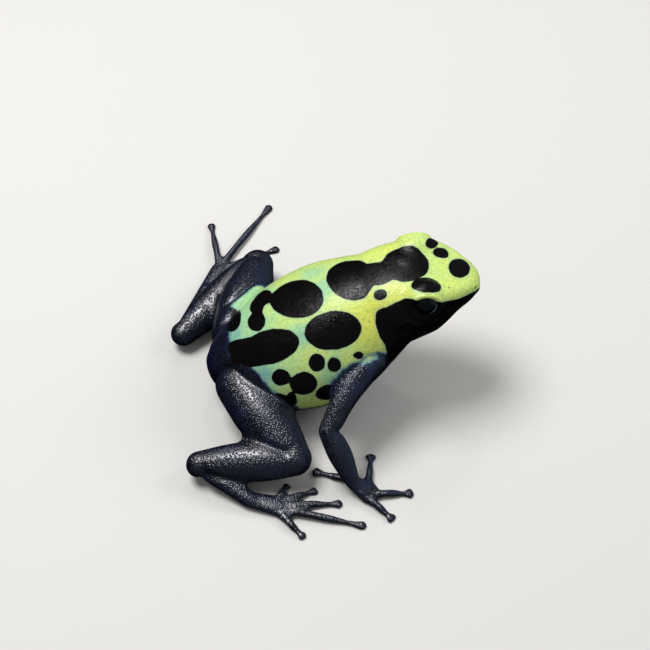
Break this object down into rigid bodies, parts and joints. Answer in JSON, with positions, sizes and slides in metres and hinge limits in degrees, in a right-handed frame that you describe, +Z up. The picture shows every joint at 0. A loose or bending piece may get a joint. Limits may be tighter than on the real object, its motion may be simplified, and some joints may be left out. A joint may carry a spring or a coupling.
{
  "type": "dyeing poison dart frog, sitting",
  "caption": "Life-size poison dart frog sitting upright on folded hind legs, forelegs propped, head level; a still display model.",
  "frame": {"origin": "middle of the frog's bounding box, on the floor it sits on", "axes": "+X forward along the frog's head, +Y to the frog's left, +Z up"},
  "size_m": [0.0432, 0.0596, 0.0235],
  "materials": {
    "spotted_skin": "smooth moist skin, lime yellow to mint green with black spots",
    "dark_skin": "finely granular moist skin, blue black",
    "eye": "wet black eye"
  },
  "bodies": {
    "root": {"eye_left": "eye", "eye_right": "eye", "finger_left_1": "dark_skin", "finger_left_2": "dark_skin", "finger_left_3": "dark_skin", "finger_left_4": "dark_skin", "finger_right_1": "dark_skin", "finger_right_2": "dark_skin", "finger_right_3": "dark_skin", "finger_right_4": "dark_skin", "forearm_left": "dark_skin", "forearm_right": "dark_skin", "head": "spotted_skin", "palm_left": "dark_skin", "palm_right": "dark_skin", "shank_left": "dark_skin", "shank_right": "dark_skin", "sole_left": "dark_skin", "sole_right": "dark_skin", "tarsus_left": "dark_skin", "tarsus_right": "dark_skin", "thigh_left": "dark_skin", "thigh_right": "dark_skin", "toe_left_1": "dark_skin", "toe_left_2": "dark_skin", "toe_left_3": "dark_skin", "toe_left_4": "dark_skin", "toe_left_5": "dark_skin", "toe_right_1": "dark_skin", "toe_right_2": "dark_skin", "toe_right_3": "dark_skin", "toe_right_4": "dark_skin", "toe_right_5": "dark_skin", "torso": "spotted_skin", "upper_arm_left": "dark_skin", "upper_arm_right": "dark_skin"}
  },
  "joints": []
}
